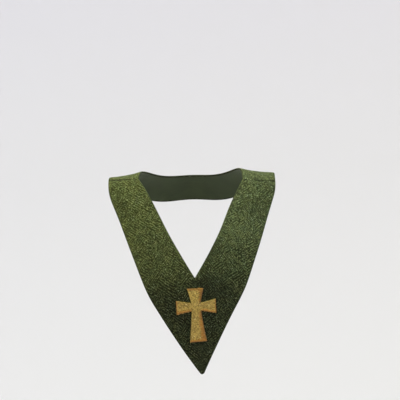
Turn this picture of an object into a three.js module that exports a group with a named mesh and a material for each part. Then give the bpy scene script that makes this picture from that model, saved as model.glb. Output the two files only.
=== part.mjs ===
// A liturgical scapular: a stiff, interlined V collar with a pointed front, a rounded back band,
// and a flared cross embroidered below the neckline. It is shown worn, on a general figure.
// Millimetres. +Z is up, the front faces -Y, and +X is to the right of someone who faces the front.
// The origin is midway between the two straps, on the crest of the shoulders that carry them.
//
// Every piece is drawn flat first, as pattern points { across, down }. "across" is the distance to
// the side of the centre line. "down" is the distance over the shoulder from its crest: positive
// down the chest and negative down the back. The points are then laid on the figure.

import * as THREE from 'three';

// ---- Cloth ----
const CLOTH = 2.0; // wall thickness: face cloth, interlining and backing
const SEAM_GAP = 0.37; // at each shoulder seam, as drawn flat; it closes to about 0.3 when laid
const PATCH_GAP = 0.3; // between the front and the embroidery that lies on it
const EMBROIDERY = 1.0; // thickness of the embroidery

// ---- The general figure ----
// Its side profile leaves the crest level, and each arc turns it further down.
const CHEST_ARCS = [
  { length: 50, turn: 52 },
  { length: 135, turn: 17 },
  { length: 65, turn: 22 },
  { length: 150, turn: 8 },
];
const BACK_ARCS = [
  { length: 90, turn: 45 },
  { length: 80, turn: 20 },
];
const SHOULDER_SLOPE = 0.05; // fall of the shoulder line for each millimetre outwards
const SHOULDER_BLEND = 30; // softens that slope at the centre line
const NECK_RISE = 25; // rise of the shoulder line towards the neck
const NECK_REACH = 70; // how far out that rise spreads
const STRAP_REST = 84; // distance across at which the strap sits at height zero
const CREST_FADE = 150; // the shoulder line's shape has gone this far down the chest
const BODY_RADIUS = 350; // roundness of the chest and the back from side to side
const BODY_ROUNDS_BY = 120; // distance over the shoulder at which that roundness is full

// ---- Shoulder seams ----
// The collar is worn turned a little round the neck, so the right seam lies further down the chest
// than the left one: each by its turn from where the two would lie evenly.
const SEAM = { neckDown: 39, outerDown: 31.5, neckTurn: 4.5, outerTurn: 9.5 };

// ---- Front panel: half widths down the centre line; lean is the change of the half width per mm ----
const NECKLINE_ROWS = [
  { down: 34.5, half: 85.7, lean: -0.46 },
  { down: 125, half: 45.8, lean: -0.45 },
  { down: 210.7, half: 0, lean: -0.62 },
];
const SIDE_ROWS = [
  { down: 22, half: 135.4, lean: 0 },
  { down: 50, half: 134.6, lean: -0.08 },
  { down: 80, half: 128.4, lean: -0.31 },
  { down: 180.7, half: 94.6, lean: -0.36 },
  { down: 250.5, half: 65.1, lean: -0.569 },
  { down: 365, half: 0, lean: -0.569 },
];
const TIP_RADIUS = 4; // the turned tip is blunt
const TIP_SHARE = 0.03; // share of the side's steps that goes round the tip
const FAN = 1.2; // spreads the sections so that they stay roughly square to the band
const SWING = 6; // the hanging tip has swung this far to the right
const SWING_START = 225.5;

// ---- Small tugs that wearing gives the cloth, each a sideways move that fades over its reach ----
const TUGS = [
  { across: 112, down: 140, reach: 62, side: 1.4 },
  { across: 52, down: 96, reach: 34, side: -1.1 },
  { across: 0, down: 208, reach: 28, side: -1.0 },
  { across: 138, down: 5, reach: 16, side: 2.9 },
];

// ---- Back band: the handles of the curves that its edges follow from a seam to the centre ----
const NAPE = { across: 83, down: -20, centreAcross: 60, centreDown: -84 };
const HEM = { across: 137, down: -55, centreAcross: 84, centreDown: -140 };

// ---- Embroidered cross: arms that flare from a centre block ----
const CROSS_DOWN = 255.1;
const CROSS_ACROSS = -0.5; // it is stitched a little to the left of the centre line
const CROSS_WAIST = { across: 7.1, down: 6.2 };
const CROSS_ARMS = [
  { toSide: 0, toBottom: -1, reach: 28.1, half: 12.4, steps: 5 },
  { toSide: 1, toBottom: 0, reach: 29.9, half: 11.1, steps: 5 },
  { toSide: 0, toBottom: 1, reach: 53.8, half: 12.8, steps: 9 },
  { toSide: -1, toBottom: 0, reach: 30.3, half: 10.6, steps: 5 },
];
const FLARE = 1.15; // above one, an arm widens faster towards its end

// ---- Fineness of the faceted cloth ----
const FRONT_SECTIONS = 48; // for each half
const BACK_SECTIONS = 26; // for each half
const BAND_STEPS = 8;
const CROSS_STEPS = 4;

// ---- Finishes ----
const JACQUARD = { color: 0x46552a, roughness: 0.85, metalness: 0 };
const GOLD_THREAD = { color: 0xbd9645, roughness: 0.55, metalness: 0 };

const mix = THREE.MathUtils.lerp;

/** Goes smoothly from 0 to 1 as value goes from 0 to end. */
function ease(value, end) {
  return THREE.MathUtils.smoothstep(value, 0, end);
}

/** How far a chain of arcs has gone outwards and dropped after a distance along it. */
function alongArcs(arcs, distance) {
  let heading = 0;
  let left = distance;
  const gone = { outwards: 0, drop: 0 };
  for (const arc of arcs) {
    const step = Math.min(left, arc.length);
    const bend = THREE.MathUtils.degToRad(arc.turn) / arc.length;
    const next = heading + bend * step;
    gone.outwards += (Math.sin(next) - Math.sin(heading)) / bend;
    gone.drop += (Math.cos(heading) - Math.cos(next)) / bend;
    heading = next;
    left -= step;
  }
  return gone;
}

/** Height of the shoulder line at a distance across. */
function shoulderLine(across) {
  const slope = -SHOULDER_SLOPE * Math.hypot(across, SHOULDER_BLEND);
  return slope + NECK_RISE * Math.exp(-((across / NECK_REACH) ** 2));
}

/** The point of the figure under a pattern point. */
function figurePoint(across, down) {
  const onChest = down >= 0;
  const gone = alongArcs(onChest ? CHEST_ARCS : BACK_ARCS, Math.abs(down));
  const rounding = (across ** 2 / (2 * BODY_RADIUS)) * ease(Math.abs(down), BODY_ROUNDS_BY);
  const outwards = gone.outwards - rounding;
  const crest = shoulderLine(across) - shoulderLine(STRAP_REST);
  const kept = onChest ? 1 - ease(down, CREST_FADE) : 1;
  return new THREE.Vector3(across, onChest ? -outwards : outwards, crest * kept - gone.drop);
}

/** A pattern point laid on the figure, then lifted off it by a distance. */
function laidPoint({ across, down }, lift) {
  const reach = 0.5;
  const downwards = figurePoint(across, down + reach).sub(figurePoint(across, down - reach));
  const sideways = figurePoint(across + reach, down).sub(figurePoint(across - reach, down));
  const outwards = downwards.cross(sideways).normalize();
  return figurePoint(across, down).addScaledVector(outwards, lift);
}

/** Moves a pattern point to where wearing takes it: the tugs, and the swing of the hanging tip. */
function worn({ across, down }) {
  const tugged = TUGS.reduce((sum, tug) => {
    const away = Math.hypot(across - tug.across, down - tug.down) / tug.reach;
    return sum + tug.side * Math.exp(-away * away);
  }, across);
  const below = Math.max(down - SWING_START, 0);
  const length = tipDown() - SWING_START;
  const shift = SWING * (below / length) ** 2;
  const slope = (2 * SWING * below) / length ** 2;
  return { across: tugged + shift, down: down - across * slope };
}

/** A half width read from a table of rows, with a smooth curve between one row and the next. */
function halfWidth(rows, down) {
  const last = Math.max(1, rows.findIndex((row) => row.down >= down));
  const [from, to] = [rows[last - 1], rows[last]];
  const length = to.down - from.down;
  const t = (down - from.down) / length;
  const [t2, t3] = [t * t, t * t * t];
  const places = from.half * (2 * t3 - 3 * t2 + 1) + to.half * (3 * t2 - 2 * t3);
  const leans = from.lean * (t3 - 2 * t2 + t) + to.lean * (t3 - t2);
  return places + leans * length;
}

/** Half of the angle between the two sides where they meet at the tip. */
function tipAngle() {
  return Math.atan(-SIDE_ROWS.at(-1).lean);
}

/** How far down the middle of the tip's round end lies. */
function tipCentreDown() {
  return SIDE_ROWS.at(-1).down - TIP_RADIUS / Math.sin(tipAngle());
}

/** How far down the blunt tip reaches. */
function tipDown() {
  return tipCentreDown() + TIP_RADIUS;
}

/** The front's neckline, from the seam at t = 0 to the point of the V at t = 1. */
function frontNeckline(t, side) {
  const down = mix(SEAM.neckDown + side * SEAM.neckTurn, NECKLINE_ROWS.at(-1).down, t);
  return { across: halfWidth(NECKLINE_ROWS, down), down: down + (SEAM_GAP / 2) * (1 - t) };
}

/** The front's outer edge, from the seam at t = 0 down the side and round the tip to t = 1. */
function frontSide(t, side) {
  const sideShare = 1 - TIP_SHARE;
  if (t > sideShare) {
    const turned = ((1 - t) / TIP_SHARE) * (Math.PI / 2 - tipAngle());
    const across = TIP_RADIUS * Math.sin(turned);
    return { across, down: tipCentreDown() + TIP_RADIUS * Math.cos(turned) };
  }
  const sideEnd = tipCentreDown() + TIP_RADIUS * Math.sin(tipAngle());
  const down = mix(SEAM.outerDown + side * SEAM.outerTurn, sideEnd, (t / sideShare) ** FAN);
  return { across: halfWidth(SIDE_ROWS, down), down: down + (SEAM_GAP / 2) * (1 - t) };
}

/** An edge of the back band, from the seam at t = 0 to the centre at t = 1. */
function backEdge(rows, seamDown, turn, handles) {
  return (t, side) => {
    const down = seamDown + side * turn;
    const curve = new THREE.CubicBezierCurve(
      new THREE.Vector2(halfWidth(rows, down), down - SEAM_GAP / 2),
      new THREE.Vector2(handles.across, handles.down),
      new THREE.Vector2(handles.centreAcross, handles.centreDown),
      new THREE.Vector2(0, handles.centreDown),
    );
    const point = curve.getPoint(t);
    return { across: point.x, down: point.y };
  };
}

/** Four-cornered cells between lines of points: each line has as many points as the next. */
function cellsBetween(lines) {
  return lines.slice(1).flatMap((line, i) =>
    line.slice(1).map((corner, j) => [lines[i][j], lines[i][j + 1], corner, line[j]]),
  );
}

/** Cells of a band that runs from one seam, round the centre line, to the other seam. */
function bandCells(innerEdge, outerEdge, sections) {
  const lines = [];
  for (let i = -sections; i <= sections; i++) {
    const t = 1 - Math.abs(i) / sections;
    const side = Math.sign(i);
    const [inner, outer] = [innerEdge(t, side), outerEdge(t, side)];
    const line = [];
    for (let j = 0; j <= BAND_STEPS; j++) {
      const out = j / BAND_STEPS;
      const across = side * mix(inner.across, outer.across, out);
      line.push({ across, down: mix(inner.down, outer.down, out) });
    }
    lines.push(line);
  }
  return cellsBetween(lines);
}

/** Cells of the cross: a centre block, and four arms that grow from its sides. */
function crossCells() {
  const spread = Array.from({ length: CROSS_STEPS + 1 }, (_, j) => (2 * j) / CROSS_STEPS - 1);
  const block = spread.map((v) =>
    spread.map((u) => ({
      across: CROSS_ACROSS + u * CROSS_WAIST.across,
      down: CROSS_DOWN + v * CROSS_WAIST.down,
    })),
  );
  const arms = CROSS_ARMS.flatMap((arm) => {
    const upright = arm.toBottom !== 0;
    const start = upright ? CROSS_WAIST.down : CROSS_WAIST.across;
    const waist = upright ? CROSS_WAIST.across : CROSS_WAIST.down;
    const lines = Array.from({ length: arm.steps + 1 }, (_, i) => {
      const share = i / arm.steps;
      const along = mix(start, arm.reach, share);
      const half = mix(waist, arm.half, share ** FLARE);
      return spread.map((u) => ({
        across: CROSS_ACROSS + arm.toSide * along + Math.abs(arm.toBottom) * u * half,
        down: CROSS_DOWN + arm.toBottom * along + Math.abs(arm.toSide) * u * half,
      }));
    });
    return cellsBetween(lines);
  });
  return [...cellsBetween(block), ...arms];
}

/** Twice the area of a flat cell, positive where its corners run anticlockwise seen from outside. */
function turning(cell) {
  return cell.reduce((sum, corner, i) => {
    const next = cell[(i + 1) % cell.length];
    return sum + corner.down * next.across - next.down * corner.across;
  }, 0);
}

/** A closed wall over flat cells, between two distances off the figure. */
function clothWall(cells, innerLift, outerLift) {
  const numbers = new Map();
  const points = [];
  const numberOf = (corner) => {
    const key = `${corner.across.toFixed(3)} ${corner.down.toFixed(3)}`;
    if (!numbers.has(key)) {
      numbers.set(key, points.length / 2);
      points.push(laidPoint(corner, innerLift), laidPoint(corner, outerLift));
    }
    return numbers.get(key);
  };
  const triangles = [];
  const rims = new Map();
  for (const cell of cells) {
    const facing = turning(cell) > 0 ? cell : [...cell].reverse();
    const [a, b, c, d] = facing.map(numberOf);
    for (const [p, q, r] of [[a, b, c], [a, c, d]]) {
      triangles.push(2 * p + 1, 2 * q + 1, 2 * r + 1, 2 * r, 2 * q, 2 * p);
    }
    for (const [p, q] of [[a, b], [b, c], [c, d], [d, a]]) {
      if (!rims.delete(`${q} ${p}`)) rims.set(`${p} ${q}`, [p, q]);
    }
  }
  for (const [p, q] of rims.values()) {
    triangles.push(2 * p, 2 * q, 2 * q + 1, 2 * p, 2 * q + 1, 2 * p + 1);
  }
  const geometry = new THREE.BufferGeometry().setFromPoints(points);
  geometry.setIndex(triangles);
  geometry.computeVertexNormals();
  return geometry;
}

/** A named piece with a material of its own. */
function piece(name, geometry, finish) {
  const mesh = new THREE.Mesh(geometry, new THREE.MeshStandardMaterial(finish));
  mesh.name = name;
  return mesh;
}

function frontPanel() {
  const cells = bandCells(frontNeckline, frontSide, FRONT_SECTIONS);
  return piece('front_panel', clothWall(cells.map((cell) => cell.map(worn)), 0, CLOTH), JACQUARD);
}

function backBand() {
  const nape = backEdge(NECKLINE_ROWS, SEAM.neckDown, SEAM.neckTurn, NAPE);
  const hem = backEdge(SIDE_ROWS, SEAM.outerDown, SEAM.outerTurn, HEM);
  const cells = bandCells(nape, hem, BACK_SECTIONS).map((cell) => cell.map(worn));
  return piece('back_band', clothWall(cells, 0, CLOTH), JACQUARD);
}

function cross() {
  const cells = crossCells().map((cell) => cell.map(worn));
  const inner = CLOTH + PATCH_GAP;
  return piece('cross', clothWall(cells, inner, inner + EMBROIDERY), GOLD_THREAD);
}

const scapular = new THREE.Group();
scapular.add(frontPanel(), backBand(), cross());

export default scapular;
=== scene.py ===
"""The looks of a worn liturgical scapular: an interlined V collar with an embroidered cross.

Each piece is drawn flat first, in millimetres: "across" is the distance from the centre line,
and "down" is the distance over the shoulder from its crest, negative on the back. The drawing
is then laid on a general figure. Finished meshes are in metres: +Z is up, the front faces -Y.
"""

import logging
import math
from collections.abc import Sequence
from dataclasses import dataclass, field
from enum import Enum
from typing import Any

import bpy
import numpy as np
from mathutils import Matrix, Vector


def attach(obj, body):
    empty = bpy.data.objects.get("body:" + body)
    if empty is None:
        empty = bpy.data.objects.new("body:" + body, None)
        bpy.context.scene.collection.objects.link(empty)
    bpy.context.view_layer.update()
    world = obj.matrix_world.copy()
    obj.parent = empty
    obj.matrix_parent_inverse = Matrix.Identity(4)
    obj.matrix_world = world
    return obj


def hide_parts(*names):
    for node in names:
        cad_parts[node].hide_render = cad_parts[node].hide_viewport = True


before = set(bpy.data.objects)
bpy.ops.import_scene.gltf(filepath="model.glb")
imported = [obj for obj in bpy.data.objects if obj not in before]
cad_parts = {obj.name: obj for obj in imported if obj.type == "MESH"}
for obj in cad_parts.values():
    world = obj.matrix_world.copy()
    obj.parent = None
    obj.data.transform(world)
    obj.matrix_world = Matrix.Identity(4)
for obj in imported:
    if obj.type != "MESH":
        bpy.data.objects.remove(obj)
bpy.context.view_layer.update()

Colour = tuple[float, float, float]
Grid = np.ndarray

# A millimetre in metres, and a metre in millimetres.
MM = 0.001
METRE = 1000.0
# The least length that is divided by.
TINY = 1e-6
# Corners that agree to this many digits of a millimetre are one.
WELD_DIGITS = 3
# Starts of the random numbers: the laid rows, the edge's lengths and shades, its threads.
ROW_SEED = 7
EDGE_SEED = 11
THREAD_SEED = 13
# The body that carries every piece, and the names of the vectors that the meshes carry.
BODY = "root"
CLOTH_PLACE = "cloth_place"
THREAD_PLACE = "thread_place"
THREAD_TONE = "thread_tone"

log = logging.getLogger("scapular")


def ease(value: Grid, start: float, end: float) -> Grid:
    """Goes smoothly from 0 to 1 as the value goes from start to end."""
    share = np.clip((value - start) / (end - start), 0.0, 1.0)
    return share * share * (3.0 - 2.0 * share)


# ---------------------------------------------------------------- The figure


@dataclass(frozen=True)
class Arc:
    """One arc of the figure's side profile.

    Args:
        length: its length over the figure, in millimetres.
        turn: how much further down it turns, in degrees.
    """

    length: float
    turn: float


@dataclass(frozen=True)
class Swell:
    """A soft ridge in the lie of the cloth, or a trough where its rise is negative.

    Args:
        across: place of its middle, to the side.
        down: place of its middle, over the shoulder.
        long: half of its length.
        wide: half of its width.
        turned: direction of its length, in degrees from the crosswise line.
        rise: height at its middle, in millimetres.
    """

    across: float
    down: float
    long: float
    wide: float
    turned: float
    rise: float

    def height(self, across: Grid, down: Grid) -> Grid:
        """The height that it adds.

        Args:
            across: distances to the side of the centre line.
            down: distances over the shoulder.

        Returns:
            The heights, in millimetres.
        """
        turn = math.radians(self.turned)
        side, fall = across - self.across, down - self.down
        lengthwise = (side * math.cos(turn) + fall * math.sin(turn)) / self.long
        crosswise = (fall * math.cos(turn) - side * math.sin(turn)) / self.wide
        return self.rise * np.exp(-(lengthwise**2) - crosswise**2)


@dataclass(frozen=True)
class Figure:
    """The general figure that carries the collar, and the way the cloth lies on it.

    Args:
        chest: its profile from the crest of the shoulders down the front.
        back: its profile from the crest down the back.
        shoulder_slope: how much a shoulder falls for each millimetre to the side.
        shoulder_blend: how far from the centre line that fall begins.
        neck_rise: how much the shoulder line rises towards the neck.
        neck_reach: how far to the side that rise goes.
        strap_rest: distance to the side at which the crest has height 0.
        crest_fade: how far down the front the shoulder line still tells.
        body_radius: radius of the rounding from side to side.
        rounds_by: how far down the rounding is complete.
        probe: distance at which two points are compared to find a direction.
        swells: ridges and troughs in the lie of the cloth.
    """

    chest: tuple[Arc, ...] = (Arc(50, 52), Arc(135, 17), Arc(65, 22), Arc(150, 8))
    back: tuple[Arc, ...] = (Arc(90, 45), Arc(80, 20))
    shoulder_slope: float = 0.05
    shoulder_blend: float = 30.0
    neck_rise: float = 25.0
    neck_reach: float = 70.0
    strap_rest: float = 84.0
    crest_fade: float = 150.0
    body_radius: float = 350.0
    rounds_by: float = 120.0
    probe: float = 0.5
    swells: tuple[Swell, ...] = ()

    @staticmethod
    def along(arcs: Sequence[Arc], distance: Grid) -> tuple[Grid, Grid]:
        """Follows a chain of arcs from the crest.

        Args:
            arcs: the chain.
            distance: how far each point has gone along it.

        Returns:
            How far each point has gone outwards, and how far it has dropped.
        """
        outwards, drop = np.zeros_like(distance), np.zeros_like(distance)
        heading, left = np.zeros_like(distance), distance.astype(float)
        for arc in arcs:
            step = np.minimum(left, arc.length)
            bend = math.radians(arc.turn) / arc.length
            turned = heading + bend * step
            outwards = outwards + (np.sin(turned) - np.sin(heading)) / bend
            drop = drop + (np.cos(heading) - np.cos(turned)) / bend
            heading, left = turned, left - step
        return outwards, drop

    def shoulder_line(self, across: Grid) -> Grid:
        """Height of the shoulder line at a distance across."""
        slope = -self.shoulder_slope * np.hypot(across, self.shoulder_blend)
        return slope + self.neck_rise * np.exp(-((across / self.neck_reach) ** 2))

    def point(self, across: Grid, down: Grid) -> Grid:
        """The points of the bare figure under places of the drawing.

        Args:
            across: distances to the side of the centre line.
            down: distances over the shoulder.

        Returns:
            The points, in millimetres.
        """
        over_chest = self.along(self.chest, np.maximum(down, 0.0))
        over_back = self.along(self.back, np.maximum(-down, 0.0))
        rounding = across**2 / (2.0 * self.body_radius)
        rounding = rounding * ease(np.abs(down), 0.0, self.rounds_by)
        on_chest = down >= 0.0
        forward = np.where(on_chest, over_chest[0] - rounding, rounding - over_back[0])
        rise = self.shoulder_line(across) - self.shoulder_line(np.float64(self.strap_rest))
        kept = np.where(on_chest, 1.0 - ease(down, 0.0, self.crest_fade), 1.0)
        height = rise * kept - np.where(on_chest, over_chest[1], over_back[1])
        return np.stack([across + 0.0 * down, -forward, height], axis=-1)

    def outwards(self, across: Grid, down: Grid) -> Grid:
        """The directions that point straight off the figure.

        Args:
            across: distances to the side of the centre line.
            down: distances over the shoulder.

        Returns:
            The directions, each of length 1.
        """
        fall = self.point(across, down + self.probe) - self.point(across, down - self.probe)
        side = self.point(across + self.probe, down) - self.point(across - self.probe, down)
        normal = np.cross(fall, side)
        return normal / np.linalg.norm(normal, axis=-1, keepdims=True)

    def travelled(self, across: Grid, down: Grid, steps: int = 60) -> Grid:
        """The true distance over the figure from the crest.

        Args:
            across: distances to the side of the centre line.
            down: distances over the shoulder, as drawn.
            steps: number of straight steps that the way is measured in.

        Returns:
            The distances, negative on the back.
        """
        total = np.zeros_like(down)
        last = self.point(across, np.zeros_like(down))
        for step in range(1, steps + 1):
            here = self.point(across, down * (step / steps))
            total = total + np.linalg.norm(here - last, axis=-1)
            last = here
        return np.sign(down) * total

    def lay(self, across: Grid, down: Grid, lift: Grid | float) -> Grid:
        """Lays places of the drawing on the figure.

        Args:
            across: distances to the side of the centre line.
            down: distances over the shoulder.
            lift: distances off the figure.

        Returns:
            The points, in metres.
        """
        height = np.zeros_like(across) + lift
        for swell in self.swells:
            height = height + swell.height(across, down)
        laid = self.point(across, down) + self.outwards(across, down) * height[..., None]
        return laid * MM


# ---------------------------------------------------------------- Outlines


@dataclass(frozen=True)
class Row:
    """A half width of the front, at a distance over the shoulder.

    Args:
        down: the distance, in millimetres.
        half: the half width.
        lean: how much it changes for each millimetre down.
    """

    down: float
    half: float
    lean: float


@dataclass(frozen=True)
class Seam:
    """The line at which the front and the back band meet on each shoulder.

    The collar is worn turned a little round the neck, so the right seam lies further down the
    chest than the left one.

    Args:
        neck_down: how far down the two seams' neck ends would lie evenly.
        outer_down: how far down their outer ends would lie evenly.
        neck_turn: how far the turn moves a neck end.
        outer_turn: how far the turn moves an outer end.
        gap: distance between the front and the back band.
    """

    neck_down: float = 39.0
    outer_down: float = 31.5
    neck_turn: float = 4.5
    outer_turn: float = 9.5
    gap: float = 0.05


SEAM = Seam()


def half_width(rows: Sequence[Row], down: Grid) -> Grid:
    """Reads half widths from rows, with a smooth curve from one row to the next.

    Args:
        rows: the known half widths, from the top down.
        down: distances over the shoulder.

    Returns:
        The half widths there.
    """
    found = np.zeros_like(down)
    for first, second in zip(rows, rows[1:]):
        length = second.down - first.down
        share = (down - first.down) / length
        square, cube = share**2, share**3
        places = first.half * (2 * cube - 3 * square + 1) + second.half * (3 * square - 2 * cube)
        leans = first.lean * (cube - 2 * square + share) + second.lean * (cube - square)
        inside = (down >= first.down) & (down <= second.down)
        found = np.where(inside, places + leans * length, found)
    return found


@dataclass(frozen=True)
class Tug:
    """A small sideways move of the worn cloth.

    Args:
        across: place of its middle, to the side.
        down: place of its middle, over the shoulder.
        reach: distance over which it fades.
        side: how far it moves the cloth at its middle, towards +X where it is above zero.
    """

    across: float
    down: float
    reach: float
    side: float

    def shift(self, across: Grid, down: Grid) -> Grid:
        """How far it moves places of the drawing."""
        away = np.hypot(across - self.across, down - self.down) / self.reach
        return self.side * np.exp(-(away**2))


@dataclass(frozen=True)
class Wear:
    """What wearing does to the drawing: small tugs, and a swing of the hanging point.

    Args:
        tip: how far down the tip is.
        swing: how far the tip has gone to the side.
        start: how far down the swing begins.
        tugs: the small tugs.
    """

    tip: float
    swing: float = 6.0
    start: float = 225.5
    tugs: tuple[Tug, ...] = (
        Tug(112.0, 140.0, 62.0, 1.4),
        Tug(52.0, 96.0, 34.0, -1.1),
        Tug(0.0, 208.0, 28.0, -1.0),
        Tug(138.0, 5.0, 16.0, 2.9),
    )

    def moved(self, across: Grid, down: Grid) -> tuple[Grid, Grid]:
        """Places of the straight drawing, moved to where wearing takes them.

        Args:
            across: distances to the side of the centre line.
            down: distances over the shoulder.

        Returns:
            The same two distances after the move.
        """
        tugged = across + sum(tug.shift(across, down) for tug in self.tugs)
        below = np.maximum(down - self.start, 0.0)
        length = self.tip - self.start
        shift = self.swing * (below / length) ** 2
        slope = 2.0 * self.swing * below / length**2
        return tugged + shift, down - across * slope


@dataclass(frozen=True)
class FrontOutline:
    """The edges of the front, from a shoulder seam at 0 to the centre line at 1.

    Args:
        neckline_rows: half widths of the neck opening.
        side_rows: half widths of the collar, down to where its two sides would meet.
        tip_radius: radius of the rounded tip.
        tip_share: share of the outer edge that goes round the tip.
        fan: moves the lines across towards the seam at the outer edge.
    """

    neckline_rows: tuple[Row, ...] = (
        Row(34.5, 85.7, -0.46),
        Row(125.0, 45.8, -0.45),
        Row(210.7, 0.0, -0.62),
    )
    side_rows: tuple[Row, ...] = (
        Row(22.0, 135.4, 0.0),
        Row(50.0, 134.6, -0.08),
        Row(80.0, 128.4, -0.31),
        Row(180.7, 94.6, -0.36),
        Row(250.5, 65.1, -0.569),
        Row(365.0, 0.0, -0.569),
    )
    tip_radius: float = 4.0
    tip_share: float = 0.03
    fan: float = 1.2

    @property
    def tip_angle(self) -> float:
        """Half of the angle between the two sides at the tip."""
        return math.atan(-self.side_rows[-1].lean)

    @property
    def tip_centre(self) -> float:
        """How far down the middle of the tip's round end lies."""
        return self.side_rows[-1].down - self.tip_radius / math.sin(self.tip_angle)

    @property
    def tip(self) -> float:
        """How far down the blunt tip reaches."""
        return self.tip_centre + self.tip_radius

    def inner(self, share: Grid, side: Grid) -> tuple[Grid, Grid]:
        """The neckline on one side, down to the point of the V.

        Args:
            share: how far along it each place is.
            side: 1 on the right, -1 on the left.

        Returns:
            Distances from the centre line, and distances over the shoulder.
        """
        start = SEAM.neck_down + side * SEAM.neck_turn
        down = start + (self.neckline_rows[-1].down - start) * share
        return half_width(self.neckline_rows, down), down + SEAM.gap / 2 * (1 - share)

    def outer(self, share: Grid, side: Grid) -> tuple[Grid, Grid]:
        """The outer edge on one side, and round the tip.

        Args:
            share: how far along it each place is.
            side: 1 on the right, -1 on the left.

        Returns:
            Distances from the centre line, and distances over the shoulder.
        """
        start = SEAM.outer_down + side * SEAM.outer_turn
        side_share = 1.0 - self.tip_share
        side_end = self.tip_centre + self.tip_radius * math.sin(self.tip_angle)
        gone = np.minimum(share / side_share, 1.0) ** self.fan
        down = start + (side_end - start) * gone
        across = half_width(self.side_rows, down)
        down = down + SEAM.gap / 2 * (1 - share)
        turned = (1.0 - share) / self.tip_share * (math.pi / 2 - self.tip_angle)
        round_tip = share > side_share
        across = np.where(round_tip, self.tip_radius * np.sin(turned), across)
        tip_down = self.tip_centre + self.tip_radius * np.cos(turned)
        return across, np.where(round_tip, tip_down, down)


@dataclass(frozen=True)
class Handles:
    """The handles of a curve from a shoulder seam to the centre of the back.

    Args:
        across: place of the seam's handle, from the centre line.
        down: place of the seam's handle, over the shoulder.
        centre_across: place of the centre's handle, from the centre line.
        centre_down: place of the centre's handle and of the curve's end, over the shoulder.
    """

    across: float
    down: float
    centre_across: float
    centre_down: float

    def curve(self, rows: Sequence[Row], down: Grid, share: Grid) -> tuple[Grid, Grid]:
        """Places on the curve that starts at a seam's end, at shares of its length.

        Args:
            rows: half widths of the front's edge that it continues.
            down: how far down the seam's end lies.
            share: how far along the curve each place is.

        Returns:
            Distances from the centre line, and distances over the shoulder.
        """
        left = 1.0 - share
        weights = (left**3, 3 * left**2 * share, 3 * left * share**2, share**3)
        sides = (half_width(rows, down), self.across, self.centre_across, 0.0)
        falls = (down - SEAM.gap / 2, self.down, self.centre_down, self.centre_down)
        return (
            sum(weight * side for weight, side in zip(weights, sides)),
            sum(weight * fall for weight, fall in zip(weights, falls)),
        )


@dataclass(frozen=True)
class BackOutline:
    """The edges of the back band, from a shoulder seam at 0 to the centre line at 1.

    Args:
        nape: handles of the edge round the nape.
        hem: handles of the lower edge.
        front: outline of the front, whose edges it continues.
    """

    nape: Handles = Handles(83.0, -20.0, 60.0, -84.0)
    hem: Handles = Handles(137.0, -55.0, 84.0, -140.0)
    front: FrontOutline = FrontOutline()

    def inner(self, share: Grid, side: Grid) -> tuple[Grid, Grid]:
        """The edge round the nape."""
        down = SEAM.neck_down + side * SEAM.neck_turn
        return self.nape.curve(self.front.neckline_rows, down, share)

    def outer(self, share: Grid, side: Grid) -> tuple[Grid, Grid]:
        """The lower edge."""
        down = SEAM.outer_down + side * SEAM.outer_turn
        return self.hem.curve(self.front.side_rows, down, share)


# ---------------------------------------------------------------- Shader bench


class Wire:
    """An output of a node, which can be used in arithmetic. Each operation adds a node."""

    def __init__(self, bench: "Bench", socket: bpy.types.NodeSocket) -> None:
        """Keeps the output and the bench that it is on."""
        self.bench = bench
        self.socket = socket

    def __add__(self, other: "Wire | float") -> "Wire":
        """Sum."""
        return self.bench.maths("ADD", self, other)

    def __radd__(self, other: float) -> "Wire":
        """Sum, with a number on the left."""
        return self.bench.maths("ADD", other, self)

    def __sub__(self, other: "Wire | float") -> "Wire":
        """Difference."""
        return self.bench.maths("SUBTRACT", self, other)

    def __rsub__(self, other: float) -> "Wire":
        """Difference, with a number on the left."""
        return self.bench.maths("SUBTRACT", other, self)

    def __mul__(self, other: "Wire | float") -> "Wire":
        """Product."""
        return self.bench.maths("MULTIPLY", self, other)

    def __rmul__(self, other: float) -> "Wire":
        """Product, with a number on the left."""
        return self.bench.maths("MULTIPLY", other, self)

    def sine(self) -> "Wire":
        """Sine of an angle in radians."""
        return self.bench.maths("SINE", self)

    def cosine(self) -> "Wire":
        """Cosine of an angle in radians."""
        return self.bench.maths("COSINE", self)

    def rounded(self) -> "Wire":
        """Nearest whole number."""
        return self.bench.maths("ROUND", self)

    def floor(self) -> "Wire":
        """Next whole number below."""
        return self.bench.maths("FLOOR", self)

    def size(self) -> "Wire":
        """Value without its sign."""
        return self.bench.maths("ABSOLUTE", self)

    def above(self, limit: float) -> "Wire":
        """1 where the value is above a limit, and 0 elsewhere."""
        return self.bench.maths("GREATER_THAN", self, limit)

    def between(self, start: float, end: float, low: float = 0.0, high: float = 1.0) -> "Wire":
        """Goes smoothly from low to high as the value goes from start to end.

        Args:
            start: where it begins to change.
            end: where it has changed.
            low: what it gives up to start.
            high: what it gives from end on.

        Returns:
            The changed value.
        """
        node = self.bench.add(
            "MapRange",
            {"interpolation_type": "SMOOTHSTEP"},
            {"Value": self, "From Min": start, "From Max": end, "To Min": low, "To Max": high},
        )
        return self.bench.out(node, "Result")

    def wave(self, length: float) -> "Wire":
        """Goes from 0 to 1 and back again over each length."""
        return (self * (2 * math.pi / length)).sine() * 0.5 + 0.5


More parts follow.
